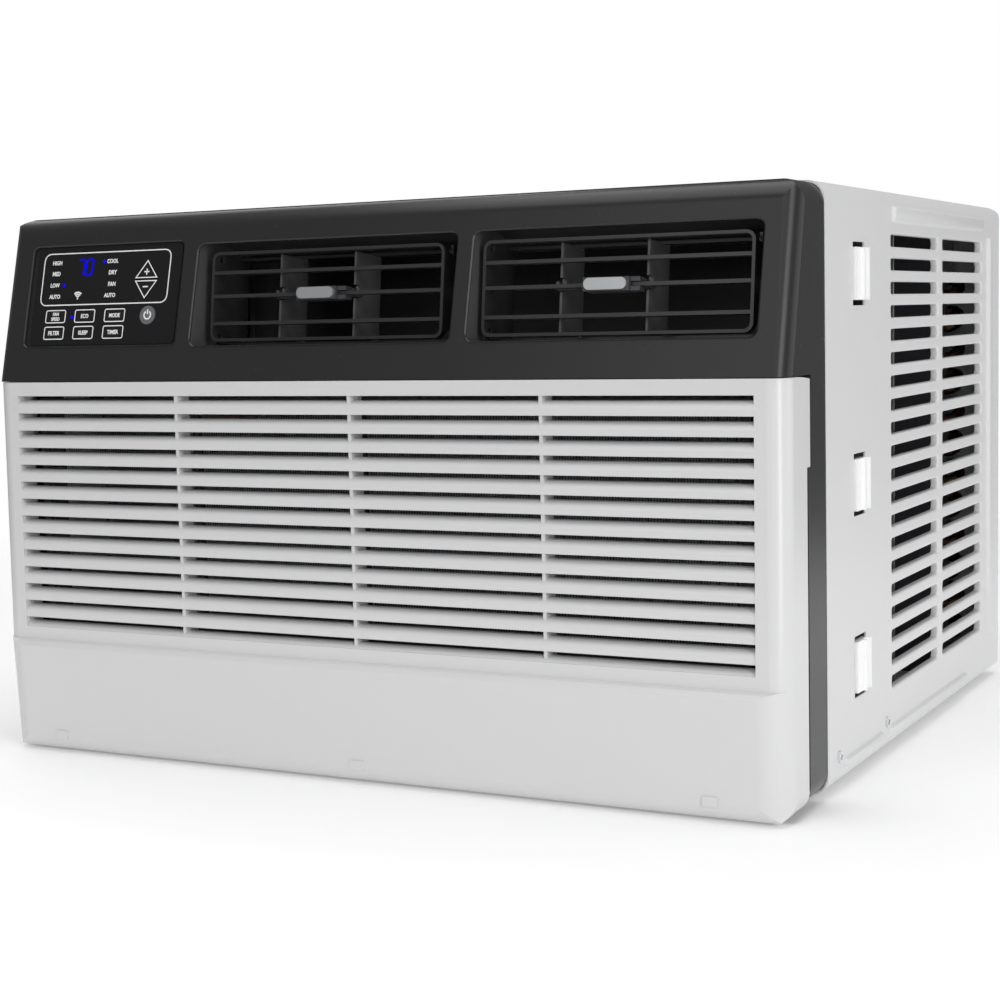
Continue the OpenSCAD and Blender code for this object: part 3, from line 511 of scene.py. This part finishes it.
def key_marks(key, x, s, *words):
    """A key's outline, with its one or two words."""
    marks = Marks(KEY_FACE)
    marks.frame((x - KEY_HALF[0], s - KEY_HALF[1]), (x + KEY_HALF[0], s + KEY_HALF[1]), KEY_CORNER, KEY_LINE)
    if len(words) == 2:
        marks.word(words[0], (x, s + KEY_PAIR_STEP), KEY_PAIR_H)
        marks.word(words[1], (x, s - KEY_PAIR_STEP), KEY_PAIR_H)
    else:
        marks.word(words[0], (x, s), KEY_WORD_H)
    marks.piece(key + "_print", BEZEL, key, "key_gloss", PRINT_WHITE)


POWER_AT = (-169.2, 43.8)


def power_marks():
    """The power key's ring and stroke."""
    marks = Marks(KEY_FACE)
    marks.arc(POWER_AT, 2.8, 122, 418, 1.0, 24)
    marks.bar((POWER_AT[0], POWER_AT[1] + 0.6), (POWER_AT[0], POWER_AT[1] + 4.0), 1.0)
    marks.piece("key_power_print", BEZEL, "key_power", "key_silver", PRINT_WHITE)


TEMP_X = -173.6
TEMP_HALF = 10
TEMP_TALL = 13.3
TEMP_UP_BASE = 70.2
TEMP_DOWN_BASE = 68.7


def temp_marks(key, base, up):
    """Triangle outline with a plus or a minus in it."""
    way = 1 if up else -1
    corners = [Vector((TEMP_X - TEMP_HALF, base)), Vector((TEMP_X + TEMP_HALF, base)),
               Vector((TEMP_X, base + way * TEMP_TALL))]
    slant = math.hypot(TEMP_HALF, TEMP_TALL)
    inner_r = TEMP_HALF * TEMP_TALL / (TEMP_HALF + slant)
    centre = Vector((TEMP_X, base + way * inner_r))

    def shrunk(by):
        return [tuple(centre + (c - centre) * (1 - by / inner_r)) for c in corners]
    marks = Marks(KEY_FACE)
    marks.band(shrunk(0.1), shrunk(0.8))
    mid = base + way * 4.6
    marks.bar((TEMP_X - 2.2, mid), (TEMP_X + 2.2, mid), 0.9)
    if up:
        marks.fill(round_loop((TEMP_X - 0.45, mid - 2.2), (TEMP_X + 0.45, mid + 2.2), 0.05, 1))
    marks.piece(key + "_print", BEZEL, key, "key_gloss", PRINT_WHITE)


# ---------- pressed detail on the cabinet ----------
CAB_HALF = 300
SLOT_COLS = ((212.2, 337.5), (347.3, 470))
SLOT_ROWS = 20
SLOT_PITCH = 15.873
SLOT_TOP = 357.7
SLOT_H = 11
SLOT_R = 2.6
SLOT_SOFT = 1.1
ROLL_R = 1.4
ROLL_DEPTH = 5.5


def rolled_profile(roll, depth):
    """Distances in from the edge of a hole, with depths below the sheet: a rolled edge and a short wall."""
    turns = [math.radians(k * 22.5) for k in range(5)]
    quarter = [(roll * math.sin(a), roll * (1 - math.cos(a))) for a in turns]
    return quarter + [(roll, depth), (0.0, depth)]


def slot_rims(side):
    """Rolled rims of the side slots, rounder in the corners than the cut sheet."""
    rims = Shape()
    for row in range(SLOT_ROWS):
        high = SLOT_TOP - row * SLOT_PITCH
        for near, far in SLOT_COLS:
            lo, hi = (near, high - SLOT_H), (far, high)
            rims.loft([[(side * (CAB_HALF - d), y, z) for y, z in
                        round_loop((lo[0] + o, lo[1] + o), (hi[0] - o, hi[1] - o), SLOT_R + SLOT_SOFT * o, 6)]
                       for o, d in rolled_profile(ROLL_R, ROLL_DEPTH)], closed=True)
    rims.piece(f"slot_rims_{'right' if side > 0 else 'left'}", ROW, "chassis", "cabinet_paint")


RIB_HEIGHT = 2.3
RIBS = (((216, 363.9), (470, 376.0), 4.5, 2.6), ((485, 38), (499, 361.5), 5.0, 2.8),
        ((104, 14.6), (190, 22.0), 3.2, 2.2), ((207, 14.6), (417, 22.0), 3.2, 2.2))


def side_ribs(side):
    """Stiffening ribs pressed out of the side sheet, with soft slopes."""
    ribs = Shape()
    for lo, hi, r, slope in RIBS:
        rings = [(-0.3, -0.6)]
        for k in range(9):
            t = k / 8
            rings.append((t * slope, RIB_HEIGHT * t * t * (3 - 2 * t)))
        ribs.loft([[(side * (CAB_HALF + h), y, z) for y, z in drawn_in(lo, hi, r, o, 6)] for o, h in rings])
    ribs.piece(f"side_ribs_{'right' if side > 0 else 'left'}", ROW, "chassis", "cabinet_paint", smooth=60)


REAR_OPENING = ((-258, 40), (258, 352), 8)  # two corners and the radius of the corners
REAR_ROLL_R = 1.6
REAR_ROLL_DEPTH = 7


def rear_rim():
    """Rolled edge of the opening round the condenser."""
    rim = Shape()
    rim.loft([[(x, CAB_REAR - d, z) for x, z in drawn_in(*REAR_OPENING, o, 8)]
              for o, d in rolled_profile(REAR_ROLL_R, REAR_ROLL_DEPTH)], closed=True)
    rim.piece("rear_rim", ROW, "chassis", "cabinet_paint")


# ---------- fine lips round the bezel's openings ----------
LIP = 0.75
LIP_DROP = 0.3
LIP_OUT = -0.05
LIP_PROUD = -0.03
OPENINGS = (((-130.8, 20.3), (74, 93.3), 6), ((84.4, 20.3), (280, 93.3), 6), ((-277, 21.5), (-142, 96), 5))


def bezel_lips():
    """Narrow chamfer that finishes each opening's edge."""
    profile = ((LIP_OUT, LIP_PROUD), (LIP, LIP), (LIP, LIP + LIP_DROP), (LIP_OUT, LIP + LIP_DROP))
    lips = Shape()
    for lo, hi, r in OPENINGS:
        lips.loft([at_depth(drawn_in(lo, hi, r, o, 8), d) for o, d in profile], closed=True)
    lips.piece("bezel_lips", BEZEL, "chassis", "bezel_plastic", smooth=20)


# ---------- coils and filter ----------
FIN_PITCH = 1.8
FIN_THICK = 0.2
TUBE_R = 4.7
TUBE_PITCH = 25.4
TUBE_FIRST = 36
EVAPORATOR_TUBES = ((-262, 252), (87, 101), 240)    # ends, depths of the two rows, and the height not passed
CONDENSER_TUBES = ((-262, 262), (499, 513), 340)


def fin_stack(node, pitch, thick):
    """Thin upright fins that take the place of a coil's plainer fins."""
    lo, hi = (Vector(c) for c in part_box(node))
    fins = Shape()
    count = int((hi.x - lo.x) / (pitch * MM))
    step = (hi.x - lo.x - thick * MM) / count
    for i in range(count + 1):
        x = lo.x + i * step
        fins.box((x, lo.y, lo.z), (x + thick * MM, hi.y, hi.z))
    made = fins.piece(node + "_fine", Matrix.Identity(4), "chassis", "fin_aluminium")
    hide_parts(node)


def straight_tubes(name, ends, depths, last, first=TUBE_FIRST, pitch=TUBE_PITCH, r=TUBE_R):
    """The coil's tubes where they cross the fins."""
    tubes = Shape()
    z = first
    while z <= last:
        for k, y in enumerate(depths):
            turns = [math.tau * i / 12 for i in range(12)]
            ring = [(y + r * math.cos(a), z + k * pitch / 2 + r * math.sin(a)) for a in turns]
            tubes.loft([[(x, u, v) for u, v in ring] for x in ends])
        z += pitch
    tubes.piece(name, ROW, "chassis", "copper")


def filter_weave():
    """Woven strands across the four panes of the filter."""
    lo, hi = (Vector(c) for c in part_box("air_filter_mesh"))
    panes, gap = 4, 4 * MM
    wide = (hi.x - lo.x + gap) / panes
    pitch, strand = 2.0 * MM, 0.22 * MM
    mid = (lo.y + hi.y) / 2
    weave = Shape()
    for pane in range(panes):
        x0, x1 = lo.x + pane * wide, lo.x + (pane + 1) * wide - gap
        for i in range(1, int((x1 - x0) / pitch)):
            x = x0 + i * pitch
            weave.box((x, mid - strand, lo.z), (x + strand, mid, hi.z))
        for i in range(1, int((hi.z - lo.z) / pitch)):
            z = lo.z + i * pitch
            weave.box((x0, mid, z), (x1, mid + strand, z + strand))
    made = weave.piece("filter_weave", Matrix.Identity(4), "grille_panel", "filter_mesh")
    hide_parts("air_filter_mesh")


# ---------- CAD nodes that stay ----------
def soften(node, width, segments=2, angle=28):
    """Rounds the sharp edges of a CAD node."""
    bevel = node.modifiers.new("edges", "BEVEL")
    bevel.width = width * MM
    bevel.segments = segments
    bevel.limit_method = "ANGLE"
    bevel.angle_limit = math.radians(angle)
    bevel.use_clamp_overlap = True


CHAMFERS = {"front_frame": 0.8, "louvre_frame_left": 0.6, "louvre_frame_right": 0.6}
EDGE_WIDTH = {"grille_panel": 0.5, "knob_cap_left": 0.7, "knob_cap_right": 0.7, "slider_left": 0.5,
              "slider_right": 0.5, "side_rail_clips": 0.3, "cabinet_screws": 0.3, "compressor": 3,
              "accumulator": 3, "fan_motor": 2,
              "control_fascia": 0.3, "vane_left_1": 0.4, "vane_left_2": 0.4, "vane_right_1": 0.4,
              "vane_right_2": 0.4, "discharge_duct": 0.5, "cord_gland": 0.6, "air_filter_frame": 0.6,
              "condenser_fan": 0.5, "base_pan": 0.5, "fan_shroud": 0.8, "run_capacitor": 1.0}
FULL_ROUND = 0.55       # edges wider than this get a third segment


def dress_nodes():
    """Gives each CAD node its material, and softens the edges that show."""
    for name, node in NODES.items():
        slot = next(s["material_slot"] for s in frame["record"]["subparts"] if s["node"] == name)
        node.data.materials.clear()
        # Vanes take the lightened copy of the louvre plastic, which paints light onto them.
        node.data.materials.append(VANE_PLASTIC_PAINTED_LIGHT if name.startswith("vane_") else MATERIALS[slot])
        if name in CHAMFERS:
            soften(node, CHAMFERS[name], 1)
        elif name in EDGE_WIDTH:
            soften(node, EDGE_WIDTH[name], 3 if EDGE_WIDTH[name] > FULL_ROUND else 2)


make_camera()
make_studio()
dress_nodes()
fascia_marks()
lit_marks()
for key, values in KEYS.items():
    key_marks(key, *values)
power_marks()
temp_marks("key_temp_up", TEMP_UP_BASE, True)
temp_marks("key_temp_down", TEMP_DOWN_BASE, False)
for side in (-1, 1):
    slot_rims(side)
    side_ribs(side)
rear_rim()
bezel_lips()
fin_stack("evaporator_fins", FIN_PITCH, FIN_THICK)
fin_stack("condenser_fins", FIN_PITCH, FIN_THICK)
straight_tubes("evaporator_straights", *EVAPORATOR_TUBES)
straight_tubes("condenser_straights", *CONDENSER_TUBES)
filter_weave()
